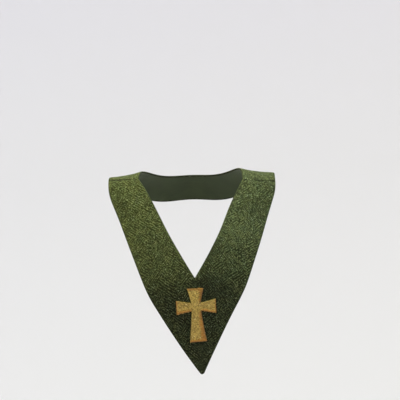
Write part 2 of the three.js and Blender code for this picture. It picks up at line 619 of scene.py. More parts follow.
class Bench:
    """A material, and the ways to add nodes to it."""

    def __init__(self, name: str) -> None:
        """Starts a material with an empty node tree.

        Args:
            name: the material's name.
        """
        self.material = bpy.data.materials.new(name)
        self.material.use_nodes = True
        self.tree = self.material.node_tree
        self.tree.nodes.clear()

    def add(
        self,
        kind: str,
        settings: dict[str, Any] | None = None,
        sockets: dict[str, Any] | None = None,
    ) -> bpy.types.Node:
        """Adds a node.

        Args:
            kind: the node's type, without its common prefix.
            settings: its properties, which are set first.
            sockets: a value or a Wire for each named input.

        Returns:
            The node.
        """
        node = self.tree.nodes.new("ShaderNode" + kind)
        for name, value in (settings or {}).items():
            setattr(node, name, value)
        for name, value in (sockets or {}).items():
            socket = next(s for s in node.inputs if s.enabled and s.name == name)
            self._feed(socket, value)
        return node

    def out(self, node: bpy.types.Node, name: str) -> Wire:
        """A node's output, by name."""
        return Wire(self, next(s for s in node.outputs if s.enabled and s.name == name))

    def maths(self, operation: str, *values: "Wire | float") -> Wire:
        """Adds a Math node.

        Args:
            operation: what it does.
            values: one or two numbers or Wires.

        Returns:
            Its result.
        """
        node = self.add("Math", {"operation": operation})
        for socket, value in zip(node.inputs, values):
            self._feed(socket, value)
        return self.out(node, "Value")

    def blend(
        self,
        factor: "Wire | float",
        first: "Wire | Colour",
        second: "Wire | Colour",
        mode: str = "MIX",
    ) -> Wire:
        """Mixes two colours.

        Args:
            factor: how much of the second.
            first: a colour or a Wire.
            second: a colour or a Wire.
            mode: the way they are mixed.

        Returns:
            The mixed colour.
        """
        colours = [
            value if isinstance(value, Wire) else (*value, 1.0) for value in (first, second)
        ]
        node = self.add(
            "Mix",
            {"data_type": "RGBA", "blend_type": mode, "clamp_factor": True},
            {"Factor": factor, "A": colours[0], "B": colours[1]},
        )
        return self.out(node, "Result")

    def grey(self, value: Wire) -> Wire:
        """A value as a colour, to multiply another colour by."""
        node = self.add("CombineColor", {}, {"Red": value, "Green": value, "Blue": value})
        return self.out(node, "Color")

    def place(self, name: str) -> Wire:
        """A vector that the mesh carries, under its name."""
        node = self.add("Attribute", {"attribute_type": "GEOMETRY", "attribute_name": name})
        return self.out(node, "Vector")

    def parts(self, vector: Wire) -> tuple[Wire, Wire, Wire]:
        """The three numbers of a vector."""
        node = self.add("SeparateXYZ", {}, {"Vector": vector})
        return self.out(node, "X"), self.out(node, "Y"), self.out(node, "Z")

    def on_cloth(self) -> tuple[Wire, ...]:
        """Places across, over the shoulder and in from the edge, in millimetres."""
        return tuple(part * METRE for part in self.parts(self.place(CLOTH_PLACE)))

    def joined(self, x: "Wire | float", y: "Wire | float", z: "Wire | float" = 0.0) -> Wire:
        """A vector from three numbers."""
        return self.out(self.add("CombineXYZ", {}, {"X": x, "Y": y, "Z": z}), "Vector")

    def noise(self, vector: Wire, size: float, detail: float = 2.0, rough: float = 0.5) -> Wire:
        """Soft noise, from 0 to 1.

        Args:
            vector: where it is read.
            size: size of its patches, in the vector's unit.
            detail: how many finer layers it has.
            rough: strength of the finer layers.

        Returns:
            The noise.
        """
        node = self.add(
            "TexNoise",
            {"noise_dimensions": "3D"},
            {"Vector": vector, "Scale": 1.0 / size, "Detail": detail, "Roughness": rough},
        )
        return self.out(node, "Fac")

    def chances(self, vector: Wire) -> tuple[Wire, Wire, Wire]:
        """Three unrelated numbers from 0 to 1, the same wherever the vector is the same."""
        node = self.add("TexWhiteNoise", {"noise_dimensions": "3D"}, {"Vector": vector})
        return self.parts(self.out(node, "Color"))

    def finish(self, shader: dict[str, Any], height: Wire | None = None) -> bpy.types.Material:
        """Adds the shader, with a bump where a height is given.

        Args:
            shader: values and Wires for the shader's inputs.
            height: the relief of the surface, in metres.

        Returns:
            The finished material.
        """
        sockets = dict(shader)
        if height is not None:
            bump = self.add("Bump", {}, {"Height": height, "Distance": 1.0, "Strength": 1.0})
            sockets["Normal"] = self.out(bump, "Normal")
        surface = self.add("BsdfPrincipled", {}, sockets)
        self.add("OutputMaterial", {}, {"Surface": self.out(surface, "BSDF")})
        return self.material

    def _feed(self, socket: bpy.types.NodeSocket, value: Any) -> None:
        """Links a Wire to an input, or sets the input's value.

        Args:
            socket: the input.
            value: the Wire or the value.
        """
        if isinstance(value, Wire):
            self.tree.links.new(value.socket, socket)
        else:
            socket.default_value = value


# ---------------------------------------------------------------- Finishes


@dataclass(frozen=True)
class Hatch:
    """Strokes that lie side by side in small patches, each patch turned its own way.

    Args:
        patch: size of a patch.
        pitch: distance from one stroke to the next.
        length: usual length of a stroke.
        uneven: how much the strokes' places vary, as a share of the distance.
        gap: how bare the cloth is between two strokes.
        falling: share of the patches whose strokes run down to the right.
        scatter: how far a patch may turn from its main direction, in radians.
        kept: how much of the strokes' length shows: 0 for little, 1 for most of it.
        shift: moves the pattern, so that two hatches differ.
        line: shares of the pitch, from a stroke's middle, between which it fades.
        seeds: spread the chances of neighbouring patches far apart.
        strand: keeps the breaks in neighbouring strokes apart.
    """

    patch: float
    pitch: float
    length: float
    uneven: float
    gap: float
    falling: float
    scatter: float
    kept: float
    shift: float
    line: tuple[float, float] = (0.05, 0.32)
    seeds: tuple[float, float] = (53.0, 91.0)
    strand: float = 3.7

    def strokes(self, bench: Bench, across: Wire, down: Wire) -> Wire:
        """Adds the strokes.

        Args:
            bench: the material's bench.
            across: place to the side, in millimetres.
            down: distance over the cloth from the crest, in millimetres.

        Returns:
            1 on a stroke, below 0 between two strokes, and 0 where there are none.
        """
        place = bench.joined(across + self.shift, down + self.shift)
        cells = bench.add(
            "TexVoronoi",
            {"voronoi_dimensions": "2D", "feature": "F1"},
            {"Vector": place, "Scale": 1.0 / self.patch, "Randomness": 1.0},
        )
        middle = bench.parts(bench.out(cells, "Position"))
        chance = bench.parts(bench.out(cells, "Color"))
        rising = chance[0].above(self.falling)
        turned = (chance[1] - 0.5) * (2 * self.scatter)
        angle = rising * (math.pi / 2) + math.pi / 4 + turned
        side, fall = across + self.shift - middle[0], down + self.shift - middle[1]
        cosine, sine = angle.cosine(), angle.sine()
        along = side * cosine + fall * sine
        beside = fall * cosine - side * sine
        turns = beside * (1 / self.pitch) + chance[2]
        number = turns.rounded()
        first, second = chance[0] * self.seeds[0], chance[1] * self.seeds[1]
        own = bench.chances(bench.joined(number, first, second))
        off = turns - number - (own[0] - 0.5) * self.uneven
        line = off.size().between(*self.line, 1.0, -self.gap)
        strand = number * self.strand + second
        broken = bench.noise(bench.joined(along, strand, first), self.length, 1.0)
        least = 0.62 - 0.25 * self.kept
        return line * broken.between(least, least + 0.06)


@dataclass(frozen=True)
class PaintedShade:
    """A soft patch of painted shade, or of painted light where its strength is below zero.

    Args:
        across: place of its middle, to the side.
        down: place of its middle, as a distance over the cloth from the crest.
        half_wide: half of its width.
        half_long: half of its length.
        strength: share of the light that it takes, or gives where it is below zero.
    """

    across: float
    down: float
    half_wide: float
    half_long: float
    strength: float

    def kept(self, across: Wire, down: Wire) -> Wire:
        """The share of the light that is left at a place.

        Args:
            across: place to the side, in millimetres.
            down: distance over the cloth from the crest, in millimetres.

        Returns:
            The share.
        """
        side = (across - self.across) * (1 / self.half_wide)
        fall = (down - self.down) * (1 / self.half_long)
        return (side * side + fall * fall).between(0.0, 1.0, 1.0 - self.strength, 1.0)


@dataclass(frozen=True)
class Jacquard:
    """Face cloth: short pale floats woven over an olive ground, closer together along strokes.

    Args:
        ground: colour of the ground.
        light: colour of the light floats.
        bright: colour of the few shiny floats.
        shadow: colour between the floats and along the turned edge.
        float_long: length of a float.
        float_high: height of a row of floats.
        float_soft: how softly a float sets in.
        float_ends: shares of a float's half length between which it sinks.
        float_sides: shares of its half height between which it sinks.
        yarns: number of yarns in a float.
        row_shift: how far each row starts beside the last, as a share of a float.
        scattered: least and most share of floats away from the strokes.
        scattered_size: size of the patches over which that share changes.
        shiny: chances between which a float turns shiny.
        long_strokes: long straight strokes on the bias.
        long_weight: how much a long stroke adds to the share of floats.
        short_strokes: short strokes on the bias, less regular.
        short_weight: how much a short stroke adds to it.
        plain_spread: how much the floats differ in tone on the left strap.
        lively_spread: how much they differ on the right strap.
        spread_places: where one spread goes over into the other, to the side.
        blotch: least and most tone of the soft blotches.
        blotch_size: size of a blotch.
        blotch_seed: the layer of noise that the blotches are read from.
        warm: the warmer dye, as a share of the colour.
        cool: the cooler dye.
        dye_size: size of the patches of one dye.
        dye_seed: the layer of noise that they are read from.
        sheen: colour of the soft light at grazing angles.
        edge_fade: distances from an edge between which the painted shade by the edges and seams gives
            way to the full colour.
        lies: soft patches of painted shade and painted light.
        relief: height of the floats, in metres.
    """

    ground: Colour = (0.0060, 0.0068, 0.0020)
    light: Colour = (0.0480, 0.0553, 0.0252)
    bright: Colour = (0.130, 0.140, 0.092)
    shadow: Colour = (0.0030, 0.0035, 0.0014)
    float_long: float = 1.05
    float_high: float = 0.78
    float_soft: float = 0.03
    float_ends: tuple[float, float] = (0.72, 1.0)
    float_sides: tuple[float, float] = (0.55, 1.0)
    yarns: int = 3
    row_shift: float = 0.37
    scattered: tuple[float, float] = (0.27, 0.37)
    scattered_size: float = 7.0
    shiny: tuple[float, float] = (0.955, 0.962)
    long_strokes: Hatch = Hatch(
        patch=13.0,
        pitch=3.15,
        length=14.0,
        uneven=0.28,
        gap=0.60,
        falling=0.62,
        scatter=0.06,
        kept=0.8,
        shift=0.0,
    )
    long_weight: float = 0.54
    short_strokes: Hatch = Hatch(
        patch=7.0,
        pitch=2.9,
        length=5.0,
        uneven=0.30,
        gap=0.6,
        falling=0.5,
        scatter=0.28,
        kept=0.9,
        shift=411.0,
    )
    short_weight: float = 0.15
    plain_spread: float = 1.12
    lively_spread: float = 1.80
    spread_places: tuple[float, float] = (45.0, 80.0)
    blotch: tuple[float, float] = (0.93, 1.08)
    blotch_size: float = 24.0
    blotch_seed: float = 21.0
    warm: Colour = (1.04, 0.99, 0.93)
    cool: Colour = (0.96, 1.01, 1.07)
    dye_size: float = 10.0
    dye_seed: float = 63.0
    sheen: Colour = (0.62, 0.72, 0.30)
    edge_fade: tuple[float, float] = (-1.2, 1.6)
    lies: tuple[PaintedShade, ...] = (
        PaintedShade(21.0, 177.0, 26.0, 29.0, 0.36),
        PaintedShade(17.0, 241.0, 40.0, 26.0, 0.40),
        PaintedShade(0.0, 284.0, 70.0, 40.0, 0.10),
        PaintedShade(112.0, 100.0, 16.0, 28.0, 0.11),
        PaintedShade(-113.0, 82.0, 16.0, 24.0, 0.11),
        PaintedShade(-36.0, 174.0, 26.0, 24.0, 0.08),
        PaintedShade(76.0, 134.0, 24.0, 40.0, -0.14),
        PaintedShade(-86.0, 196.0, 20.0, 24.0, -0.12),
        PaintedShade(64.0, 188.0, 20.0, 36.0, -0.11),
        PaintedShade(2.0, 212.0, 14.0, 18.0, -0.28),
        PaintedShade(42.0, 106.0, 12.0, 16.0, -0.09),
        PaintedShade(-108.0, 126.0, 16.0, 14.0, -0.08),
        PaintedShade(-80.0, 98.0, 34.0, 12.0, 0.06),
        PaintedShade(120.0, 62.0, 14.0, 20.0, -0.09),
    )
    relief: float = 0.00010

    def material(self) -> bpy.types.Material:
        """Builds the material.

        Returns:
            The material.
        """
        bench = Bench("green_jacquard")
        across, down, edge = bench.on_cloth()
        rows = down * (1 / self.float_high)
        row = rows.floor()
        step = across * (1 / self.float_long) + row * self.row_shift
        column = step.floor()
        chance = bench.chances(bench.joined(column, row))
        middle_across = (column + 0.5 - row * self.row_shift) * self.float_long
        middle_down = (row + 0.5) * self.float_high
        long_ones = self.long_strokes.strokes(bench, middle_across, middle_down)
        short_ones = self.short_strokes.strokes(bench, middle_across, middle_down)
        patches = bench.noise(bench.joined(across, down), self.scattered_size)
        density = patches.between(0.35, 0.65, *self.scattered)
        density = density + long_ones * self.long_weight + short_ones * self.short_weight
        floats = (density - chance[0]).between(-self.float_soft, self.float_soft)
        shiny = chance[1].between(*self.shiny) * floats
        ends = 1 - ((step - column) * 2 - 1).size().between(*self.float_ends)
        sides = 1 - ((rows - row) * 2 - 1).size().between(*self.float_sides)
        body = ends * sides
        yarns = down.wave(self.float_high / self.yarns) * floats
        colour = bench.blend(floats, self.ground, self.light)
        colour = bench.blend(shiny, colour, self.bright)
        tone = bench.grey(self._tone(bench, across, down, chance[2]))
        colour = bench.blend(1.0, colour, tone, "MULTIPLY")
        colour = bench.blend(1.0, colour, self._tint(bench, across, down), "MULTIPLY")
        colour = bench.blend((1 - body) * 0.5, colour, self.shadow)
        # Painted shade along the turned edges and in the seams' grooves.
        colour = bench.blend(1 - edge.between(*self.edge_fade), colour, self.shadow)
        height = (floats * 0.7 + 0.3) * body + yarns * 0.12 + shiny * 0.2
        shader = {
            "Base Color": colour,
            "Roughness": 0.80 - floats * 0.18 - shiny * 0.22,
            "Specular IOR Level": 0.09,
            "Sheen Weight": 0.035,
            "Sheen Roughness": 0.40,
            "Sheen Tint": (*self.sheen, 1.0),
        }
        return bench.finish(shader, height * self.relief)

    def _tone(self, bench: Bench, across: Wire, down: Wire, chance: Wire) -> Wire:
        """How light the cloth is at a place, with the patches of painted shade and painted light.

        Args:
            bench: the material's bench.
            across: place to the side, in millimetres.
            down: distance over the cloth from the crest, in millimetres.
            chance: a number from 0 to 1 for each float.

        Returns:
            The share of the light that is left.
        """
        blotch = bench.noise(bench.joined(across, down, self.blotch_seed), self.blotch_size)
        spread = across.between(*self.spread_places, self.plain_spread, self.lively_spread)
        tone = blotch.between(0.25, 0.75, *self.blotch) * ((chance - 0.5) * spread + 1.0)
        # Painted shade and painted light in soft patches.
        for lie in self.lies:
            tone = tone * lie.kept(across, down)
        return tone

    def _tint(self, bench: Bench, across: Wire, down: Wire) -> Wire:
        """A warmer and a cooler dye, which change over in soft patches."""
        dye = bench.noise(bench.joined(across, down, self.dye_seed), self.dye_size, 1.0)
        return bench.blend(dye.between(0.3, 0.7), self.warm, self.cool)


@dataclass(frozen=True)
class Lining:
    """Plain green lining on the reverse: a fine, slightly shiny weave.

    Args:
        colour: colour of its darker threads.
        light: colour of its lighter threads.
        shadow: colour by the turned edge.
        thread: distance from one twill line to the next.
        slub_size: thickness of a slub, as the stretched noise has it.
        slub_stretch: how the noise is stretched across and down.
        cloud_size: size of the soft clouds.
        cloud_seed: the layer of noise that the clouds are read from.
        tells: how much slubs, clouds and twill tell in the tone.
        edge_fade: distances from an edge between which the lining gets its full colour.
        relief: height of the threads, in metres.
    """

    colour: Colour = (0.013, 0.019, 0.006)
    light: Colour = (0.026, 0.037, 0.012)
    shadow: Colour = (0.01, 0.014, 0.006)
    thread: float = 0.55
    slub_size: float = 2.5
    slub_stretch: tuple[float, float] = (0.12, 2.0)
    cloud_size: float = 30.0
    cloud_seed: float = 5.0
    tells: tuple[float, float, float] = (0.5, 0.3, 0.2)
    edge_fade: tuple[float, float] = (2.4, 3.4)
    relief: float = 0.00004

    def material(self) -> bpy.types.Material:
        """Builds the material.

        Returns:
            The material.
        """
        bench = Bench("green_lining")
        across, down, edge = bench.on_cloth()
        wide, high = self.slub_stretch
        slubs = bench.noise(bench.joined(across * wide, down * high), self.slub_size)
        cloud = bench.noise(bench.joined(across, down, self.cloud_seed), self.cloud_size)
        twill = (across + down).wave(self.thread)
        by_slubs, by_cloud, by_twill = self.tells
        light = slubs.between(0.3, 0.7) * by_slubs + cloud.between(0.3, 0.7) * by_cloud
        light = light + twill * by_twill
        colour = bench.blend(light, self.colour, self.light)
        colour = bench.blend(1 - edge.between(*self.edge_fade, 0.4, 1.0), colour, self.shadow)
        shader = {
            "Base Color": colour,
            "Roughness": 0.50 + slubs * 0.15,
            "Specular IOR Level": 0.2,
            "Sheen Weight": 0.04,
        }
        return bench.finish(shader, (twill * 0.6 + slubs * 0.8) * self.relief)


@dataclass(frozen=True)
class GoldThread:
    """Embroidery thread: bright old gold that turns to copper brown at the edges,
    with painted shade that makes the right and lower sides darkest.

    Args:
        gold: colour of the darkest gold.
        pale: colour of the lightest gold.
        white: colour of the few glints.
        copper: colour of a stitch halfway into its painted shade.
        brown: colour of a stitch in full painted shade, and the painted shade at a shaded stitch's
            outer end.
        relief: height of the twist, in metres.
        ply: length of one turn of the twist.
        fleck: length of a piece of thread that has one tone.
        grain: length of the fine grain within it.
        glints: chances between which a fleck becomes a glint.
        tells: how much the thread, its flecks and its grain tell in the tone.
        seeds: spread the chances of neighbouring threads far apart.
        outer_end: distances along a stitch between which the painted shade of its outer end fades.
    """

    gold: Colour = (0.080, 0.050, 0.012)
    pale: Colour = (0.540, 0.362, 0.102)
    white: Colour = (0.72, 0.58, 0.27)
    copper: Colour = (0.350, 0.155, 0.032)
    brown: Colour = (0.125, 0.055, 0.014)
    relief: float = 0.00005
    ply: float = 0.55
    fleck: float = 1.6
    grain: float = 0.9
    glints: tuple[float, float] = (0.985, 0.99)
    tells: tuple[float, float, float] = (0.28, 0.50, 0.24)
    seeds: tuple[float, float] = (77.0, 977.0)
    outer_end: tuple[float, float] = (0.5, 2.6)

    def material(self) -> bpy.types.Material:
        """Builds the material.

        Returns:
            The material.
        """
        bench = Bench("gold_embroidery")
        along, turned, shade = bench.parts(bench.place(THREAD_PLACE))
        chance = bench.parts(bench.place(THREAD_TONE))
        along = along * METRE
        twist = (along * (1 / self.ply) + turned).wave(1.0)
        first, second = (chance[0] * seed for seed in self.seeds)
        grain = bench.noise(bench.joined(along, turned * 3.0, first), self.grain)
        flecks = bench.chances(bench.joined((along * (1 / self.fleck)).floor(), second))
        by_thread, by_fleck, by_grain = self.tells
        light = chance[0] * by_thread + flecks[0].between(0.1, 0.9) * by_fleck
        light = light + grain.between(0.3, 0.7) * by_grain
        colour = bench.blend(light, self.gold, self.pale)
        colour = bench.blend(flecks[1].between(*self.glints), colour, self.white)
        # Painted shade: copper and brown on the cross's right and lower sides and its ends, darkest
        # at a stitch's outer end.
        outer_end_shade = along.between(*self.outer_end, 1.0, 0.0) * shade
        shaded = bench.blend(shade.between(0.5, 1.0), self.copper, self.brown)
        shaded = bench.blend(outer_end_shade, shaded, self.brown)
        shaded = bench.blend(1.0, shaded, bench.grey(0.68 + flecks[2] * 0.64), "MULTIPLY")
        colour = bench.blend(shade.between(0.0, 0.5), colour, shaded)
        # Painted shade in the grooves of the twist.
        colour = bench.blend(1.0, colour, bench.grey(0.82 + twist * 0.24), "MULTIPLY")
        shader = {
            "Base Color": colour,
            "Roughness": 0.42 + grain * 0.16,
            "Specular IOR Level": 0.25,
        }
        return bench.finish(shader, twist * self.relief)


@dataclass(frozen=True)
class Underlay:
    """The padding stitches under the embroidery, seen only between its threads.

    Args:
        colour: colour of the stitches.
        shadow: colour between the stitches.
        thread: distance from one stitch to the next.
        relief: height of the stitches, in metres.
    """

    colour: Colour = (0.10, 0.052, 0.012)
    shadow: Colour = (0.04, 0.022, 0.007)
    thread: float = 0.9
    relief: float = 0.00008

    def material(self) -> bpy.types.Material:
        """Builds the material.

        Returns:
            The material.
        """
        bench = Bench("gold_underlay")
        across, down, _ = bench.on_cloth()
        threads = (across + down).wave(self.thread)
        colour = bench.blend(threads * 0.6, self.colour, self.shadow)
        shader = {"Base Color": colour, "Roughness": 0.7, "Specular IOR Level": 0.2}
        return bench.finish(shader, threads * self.relief)


class Finish(Enum):
    """The finishes of the pieces."""

    JACQUARD = Jacquard()
    LINING = Lining()
    GOLD = GoldThread()
    UNDERLAY = Underlay()


class Slot(Enum):
    """The record's material slots."""

    CLOTH = "green_jacquard"
    EMBROIDERY = "gold_embroidery"


class Wardrobe:
    """Makes each finish once and hands it out."""

    def __init__(self) -> None:
        """Starts empty."""
        self._made: dict[Finish, bpy.types.Material] = {}

    def take(self, finish: Finish) -> bpy.types.Material:
        """The material of a finish.

        Args:
            finish: the finish.

        Returns:
            Its material, the same one each time.
        """
        if finish not in self._made:
            self._made[finish] = finish.value.material()
        return self._made[finish]


# ---------------------------------------------------------------- Meshes


@dataclass
class MeshParts:
    """Points and faces that become one mesh.

    Args:
        points: one row for each point, in metres.
        faces: point numbers, anticlockwise from outside.
        places: named vectors, one for each point.
        finishes: the number of a face's material, one for each face.
    """

    points: Grid
    faces: list[tuple[int, ...]]
    places: dict[str, Grid]
    finishes: list[int] | None = None

    def make(self, name: str) -> bpy.types.Object:
        """Makes the object and puts it in the scene.

        Args:
            name: name of the object and of its mesh.

        Returns:
            The object.
        """
        mesh = bpy.data.meshes.new(name)
        mesh.from_pydata(self.points.tolist(), [], self.faces)
        mesh.polygons.foreach_set("use_smooth", [True] * len(mesh.polygons))
        if self.finishes is not None:
            mesh.polygons.foreach_set("material_index", self.finishes)
        for title, vectors in self.places.items():
            layer = mesh.attributes.new(title, "FLOAT_VECTOR", "POINT")
            layer.data.foreach_set("vector", vectors.astype(np.float32).ravel())
        mesh.update()
        piece = bpy.data.objects.new(name, mesh)
        bpy.context.scene.collection.objects.link(piece)
        return piece


def line_distances(places: Grid, line: Grid) -> Grid:
    """How far each place of a drawn grid is from a line of points.

    Args:
        places: a grid of places, each one across and down.
        line: places that the line joins.

    Returns:
        The distances, as a grid.
    """
    start, step = line[:-1], np.diff(line, axis=0)
    square = np.maximum((step**2).sum(-1), TINY**2)
    found = np.zeros(places.shape[:2])
    for index, row in enumerate(places):
        away = row[:, None, :] - start[None]
        share = np.clip((away * step).sum(-1) / square, 0.0, 1.0)
        gap = away - share[..., None] * step
        found[index] = np.sqrt((gap**2).sum(-1).min(axis=1))
    return found


@dataclass
class ClothPanel:
    """One panel of the collar: face cloth over interlining, turned in and lined.

    Args:
        figure: what it is laid on.
        name: name of the finished piece.
        node: name of the solid that it stands for.
        outline: its two long edges.
        wear: what wearing does to its drawing.
        flat: width and length of its flat cut, in metres; not used.
        area: area of its flat cut, in square metres; not used.
        sections: number of even lines across each half.
        cloth_shift: moves the cloth's pattern along, as on a separately cut piece.
        thickness: thickness of all its layers.
        roll: how far in from an edge the face cloth rolls over it.
        quiet_roll: the same where a seam has pulled it tight.
        seam_rolls_and_shade: for places across, how quiet the seam's roll is and how much painted
            shade it
        gets: 1 and more where it hardly shows, 0 for the usual roll, below 0 for a groove of painted
            shade.
        seam_spread: how much wider the left seam's roll and painted shade reach.
        spread_places: where that width goes over into the usual one.
        seam_fade: distances from a seam between which its roll and painted shade end.
        side_fade: distances from a side edge between which the seam's roll and painted shade set in.
        ripple: how much the seam's roll and painted shade vary along the seam.
        ripple_turn: how fast it does, in radians for each millimetre.
        allowance: how far in the turned allowance reaches under the face cloth.
        allowance_rise: how much it lifts the face cloth.
        allowance_fade: distance over which that lift ends.
        turning: width of the face cloth that shows on the reverse.
        lining_step: how much lower the lining lies than that strip.
        lining_fade: distance over which it goes down to it.
        near_seam: distances from a seam of the first lines across.
        even_from: distance from a seam at which the even lines begin.
        path: length of which those distances are taken as shares.
        near_edge: distances from an edge of the first points of a line across.
        steps_across: number of even points between the edges, the innermost of those counted.
    """

    figure: Figure
    name: str
    node: str
    outline: FrontOutline | BackOutline
    wear: Wear
    flat: tuple[float, float]
    area: float
    sections: int
    cloth_shift: float
    thickness: float = 2.0
    roll: float = 1.25
    quiet_roll: float = 0.4
    seam_rolls_and_shade: tuple[tuple[float, float], ...] = (
        (-136.0, 1.3), (-132.0, -4.0), (-116.0, -4.0), (-114.0, 0.2), (-112.0, -2.2),
        (-102.0, -2.2), (-100.0, 0.4), (-86.0, 1.2), (84.0, 1.2), (100.0, 1.2),
        (103.0, -1.0), (109.0, -1.0), (111.0, 1.0), (114.0, -0.5), (117.5, -0.5),
        (119.0, 1.1), (124.0, -0.5), (129.0, -0.5), (131.0, 1.3), (136.0, 1.6),
    )
    seam_spread: float = 1.7
    spread_places: tuple[float, float] = (-114.0, -110.0)
    seam_fade: tuple[float, float] = (0.9, 2.1)
    side_fade: tuple[float, float] = (1.0, 4.0)
    ripple: float = 0.3
    ripple_turn: float = 1.1
    allowance: float = 8.5
    allowance_rise: float = 0.22
    allowance_fade: float = 2.2
    turning: float = 2.6
    lining_step: float = 0.12
    lining_fade: float = 0.4
    near_seam: tuple[float, ...] = (0.0, 0.1, 0.37, 0.77, 1.25, 1.9, 2.8, 4.0, 5.6)
    even_from: float = 7.5
    path: float = 171.0
    near_edge: tuple[float, ...] = (
        0.0, 0.1, 0.37, 0.77, 1.25, 1.9, 2.6, 3.0, 4.4, 6.2, 8.0, 9.3, 10.8,
    )
    steps_across: int = 26
    piece: bpy.types.Object | None = field(default=None, init=False)

    def shares_along(self) -> Grid:
        """Where the lines across lie, from one seam round the centre to the other.

        Returns:
            Their places, as shares of a half.
        """
        near = np.array(self.near_seam) / self.path
        rest = np.linspace(self.even_from / self.path, 1.0, self.sections)
        half = np.concatenate([near, rest])
        return np.concatenate([half, half[-2::-1]])

    def drawing(self) -> tuple[Grid, Grid]:
        """The panel's flat drawing, as a grid of places.

        Returns:
            Distances to the side of the centre line, and distances over the shoulder.
        """
        shares = self.shares_along()
        sides = np.sign(np.arange(len(shares)) - (len(shares) - 1) / 2)
        inner_side, inner_down = self.outline.inner(shares, sides)
        outer_side, outer_down = self.outline.outer(shares, sides)
        width = np.hypot(outer_side - inner_side, outer_down - inner_down)
        near = np.array(self.near_edge)
        middle = np.linspace(0.0, 1.0, self.steps_across)[1:-1]
        lines = []
        for span in width:
            edge = near / span
            inside = edge[-1] + (1.0 - 2.0 * edge[-1]) * middle
            lines.append(np.concatenate([edge, inside, 1.0 - edge[::-1]]))
        share = np.array(lines)
        across = inner_side[:, None] + (outer_side - inner_side)[:, None] * share
        down = inner_down[:, None] + (outer_down - inner_down)[:, None] * share
        return across * sides[:, None], down

    def rounding(self, edge: Grid, quiet: Grid) -> Grid:
        """How full the cloth is near an edge, with less of a roll where it is quiet."""
        roll = self.roll - (self.roll - self.quiet_roll) * quiet
        return np.sqrt(np.clip(1.0 - (1.0 - np.minimum(edge / roll, 1.0)) ** 2, 0, 1))

    def build(self) -> bpy.types.Object:
        """Builds the panel's closed shell.

        Returns:
            The piece.
        """
        across, down = self.drawing()
        places = np.stack([across, down], axis=-1)
        seam = np.minimum(line_distances(places, places[0]), line_distances(places, places[-1]))
        side = np.minimum(*(line_distances(places, places[:, column]) for column in (0, -1)))
        edge = np.minimum(seam, side)
        roll_and_shade, inside = self._seam_lines(across, seam, side)
        by_seam = 1.0 - ease(seam, *self.seam_fade)
        across, down = self.wear.moved(across, down)
        half = self.thickness / 2
        ridge_end = self.allowance + self.allowance_fade
        ridge = self.allowance_rise * (1.0 - ease(edge, self.allowance, ridge_end))
        step = self.lining_step * ease(edge, self.turning, self.turning + self.lining_fade)
        upper = half + (half + ridge) * self.rounding(edge, np.clip(inside, 0.0, 1.0))
        lower = half - (half + step) * self.rounding(edge, by_seam)
        points = np.concatenate(
            [
                self.figure.lay(across, down, upper).reshape(-1, 3),
                self.figure.lay(across, down, lower).reshape(-1, 3),
            ]
        )
        travelled = self.figure.travelled(across, down)
        # The upper face's third number, in from the edge, also carries the seams' painted shade.
        place = np.concatenate(
            [
                np.stack([across, travelled + self.cloth_shift, inwards], axis=-1).reshape(-1, 3)
                for inwards in (edge + np.maximum(roll_and_shade, inside), side)
            ]
        )
        self.piece = self._shell(points, place * MM, side).make(self.name)
        return self.piece

    def _seam_lines(self, across: Grid, seam: Grid, side: Grid) -> tuple[Grid, Grid]:
        """Reads the seams' rolls and painted shade at each place of the drawing.

        Args:
            across: distances to the side of the centre line.
            seam: distances from the nearer seam.
            side: distances from the nearer side edge.

        Returns:
            The marks, and the marks as they set in from the side edges.
        """
        spread = np.interp(across, self.spread_places, (self.seam_spread, 1.0))
        ripple = self.ripple * np.sin(self.ripple_turn * across)
        roll_and_shade = np.interp(across, *zip(*self.seam_rolls_and_shade)) + ripple
        roll_and_shade = roll_and_shade * (1.0 - ease(seam / spread, *self.seam_fade))
        return roll_and_shade, roll_and_shade * ease(side, *self.side_fade)

    def _shell(self, points: Grid, place: Grid, side: Grid) -> MeshParts:
        """Joins the upper and the lower face of the panel at their shared edge.

        Args:
            points: the upper points and then the lower points, in metres.
            place: the place of each of these points on the cloth.
            side: distances from the panel's turned edges, as a grid.

        Returns:
            The closed shell.
        """
        rows, columns = side.shape
        total = rows * columns
        across, down = place[:total, :2].T.reshape(2, rows, columns)
        order = 1 if self._turning(across, down) > 0 else -1
        upper = np.arange(total).reshape(rows, columns)
        lower = upper + total
        for grid_edge in (np.s_[0, :], np.s_[-1, :], np.s_[:, 0], np.s_[:, -1]):
            lower[grid_edge] = upper[grid_edge]
        faces, finishes = [], []
        middle = (side[:-1, :-1] + side[1:, 1:] + side[:-1, 1:] + side[1:, :-1]) / 4
        for i in range(rows - 1):
            for j in range(columns - 1):
                for grid, turned in ((upper, 1), (lower, -1)):
                    ring = [grid[i, j], grid[i, j + 1], grid[i + 1, j + 1], grid[i + 1, j]]
                    faces.append(tuple(int(n) for n in ring[:: order * turned]))
                finishes += [0, int(middle[i, j] > self.turning)]
        used = np.unique(np.concatenate([upper.ravel(), lower.ravel()]))
        number = np.full(2 * total, -1)
        number[used] = np.arange(len(used))
        faces = [tuple(int(number[n]) for n in face) for face in faces]
        return MeshParts(points[used], faces, {CLOTH_PLACE: place[used]}, finishes)

    @staticmethod
    def _turning(across: Grid, down: Grid) -> float:
        """Tells which way round the cells of a drawn grid run.

        Args:
            across: distances to the side of the centre line.
            down: distances over the cloth.

        Returns:
            Above zero where they run anticlockwise seen from outside.
        """
        first = (across[:-1, 1:] - across[:-1, :-1]) * (down[1:, :-1] - down[:-1, :-1])
        second = (down[:-1, 1:] - down[:-1, :-1]) * (across[1:, :-1] - across[:-1, :-1])
        return float((second - first).sum())

